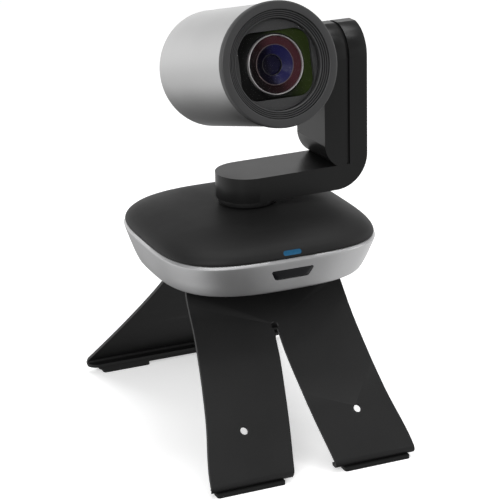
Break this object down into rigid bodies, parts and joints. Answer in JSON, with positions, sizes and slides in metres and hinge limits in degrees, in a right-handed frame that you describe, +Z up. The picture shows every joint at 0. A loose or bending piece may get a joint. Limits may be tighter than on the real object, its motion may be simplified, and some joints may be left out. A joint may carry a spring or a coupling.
{
  "type": "ptz camera",
  "caption": "Motorised pan, tilt and zoom conference camera: barrel head on an L-shaped arm over a rounded-square base, on a bent sheet-metal stand with split front legs.",
  "frame": {"origin": "on the table plane, at the centre of the footprint box of the camera and its stand; the pan axis is the vertical line 10.5 mm towards the front (-Y) from it", "axes": "+Z up, the lens and the split legs face -Y, the tilt arm stands on the +X side; at rest the arm and head are panned 1.886 degrees, lens towards +X, and the lens is 13.82 degrees above level"},
  "size_m": [0.1347, 0.2002, 0.2565],
  "materials": {
    "silver_body": "satin metallic paint",
    "silver_barrel": "satin metallic paint",
    "charcoal_cover": "fine matte",
    "black_plastic": "matte",
    "dark_plastic": "matte",
    "arm_black": "satin",
    "ring_black": "fine matte",
    "baffle_black": "flat black",
    "ir_window": "gloss",
    "led_blue": "lit",
    "chip_black": "matte",
    "board_green": "solder mask",
    "brass": "turned",
    "rubber": "matte",
    "steel_screw": "zinc plated",
    "steel_dark": "black oxide",
    "steel_plate": "plated sheet",
    "bearing_steel": "ground",
    "motor_case": "drawn can",
    "gear_pom": "moulded",
    "connector_metal": "plated",
    "window_glass": "coated",
    "lens_glass": "coated",
    "lens_ring": "turned edge",
    "sensor_silicon": "gloss",
    "stand_black": "fine powder coat"
  },
  "bodies": {
    "base": {"base_lower_body": "silver_body", "port_panel": "black_plastic", "ir_window": "ir_window", "ir_receiver": "chip_black", "front_board": "board_green", "base_bottom_plate": "dark_plastic", "tripod_insert": "brass", "base_feet": "rubber", "base_screws": "steel_screw", "base_top_cover": "charcoal_cover", "led_light_pipe": "led_blue", "base_chassis": "steel_plate", "base_inner_screws": "steel_screw", "pan_bearing": "bearing_steel", "pan_motor": "motor_case", "main_board": "board_green", "board_components": "chip_black", "usb_socket": "connector_metal", "power_jack": "black_plastic", "stand_bracket": "stand_black", "front_pads": "rubber", "rear_pad": "rubber", "thumb_screw_washer": "steel_screw", "tripod_thumb_screw": "steel_dark"},
    "pan_drive": {"pan_pinion": "gear_pom"},
    "arm": {"pan_hub": "dark_plastic", "pan_hub_clip": "bearing_steel", "pan_gear": "gear_pom", "arm_outer_shell": "arm_black", "arm_bottom_cover": "dark_plastic", "arm_screws": "steel_screw", "arm_inner_housing": "arm_black", "tilt_bearing": "bearing_steel", "tilt_motor_bracket": "steel_plate", "tilt_motor": "motor_case"},
    "tilt_drive": {"tilt_pinion": "gear_pom"},
    "head": {"tilt_gear": "gear_pom", "head_shell": "silver_barrel", "head_front_ring": "ring_black", "front_window": "window_glass", "lens_baffle": "baffle_black", "lens_housing": "baffle_black", "lens_retaining_ring": "lens_ring", "front_lens": "lens_glass", "second_lens_cell": "baffle_black", "second_lens": "lens_glass", "guide_rods": "bearing_steel", "zoom_drive": "motor_case", "focus_drive": "motor_case", "image_sensor": "sensor_silicon", "sensor_board": "board_green", "video_board": "board_green", "head_frame": "dark_plastic", "head_screws": "steel_screw", "tilt_hub": "arm_black", "tilt_hub_plate": "steel_plate"},
    "zoom_group": {"zoom_lens_cell": "baffle_black", "zoom_lens": "lens_glass"},
    "focus_group": {"focus_lens_cell": "baffle_black", "focus_lens": "lens_glass"}
  },
  "joints": [
    {"name": "pan", "type": "hinge", "parent": "base", "child": "arm", "pos_m": [0, -0.0105, 0.13], "axis": [0, 0, 1], "range_deg": [-131.89, 128.11]},
    {"name": "pan_pinion_spin", "type": "hinge", "parent": "base", "child": "pan_drive", "pos_m": [-0.02121, -0.03171, 0.124], "axis": [0, 0, 1], "range_deg": [-406, 418]},
    {"name": "tilt", "type": "hinge", "parent": "arm", "child": "head", "pos_m": [0.04498, -0.00902, 0.21217], "axis": [-0.9995, -0.0329, 0], "range_deg": [-53.8, 76.2]},
    {"name": "tilt_pinion_spin", "type": "hinge", "parent": "arm", "child": "tilt_drive", "pos_m": [0.05097, -0.00882, 0.19417], "axis": [-0.9995, -0.0329, 0], "range_deg": [-210, 148.5]},
    {"name": "zoom", "type": "slide", "parent": "head", "child": "zoom_group", "axis": [-0.032, 0.9705, -0.2389], "range_m": [0, 0.014]},
    {"name": "focus", "type": "slide", "parent": "head", "child": "focus_group", "axis": [-0.032, 0.9705, -0.2389], "range_m": [-0.003, 0.003]}
  ],
  "couplings": [
    {"joint": "pan_pinion_spin", "follows": "pan", "ratio": -3.1667},
    {"joint": "tilt_pinion_spin", "follows": "tilt", "ratio": -2.75}
  ]
}
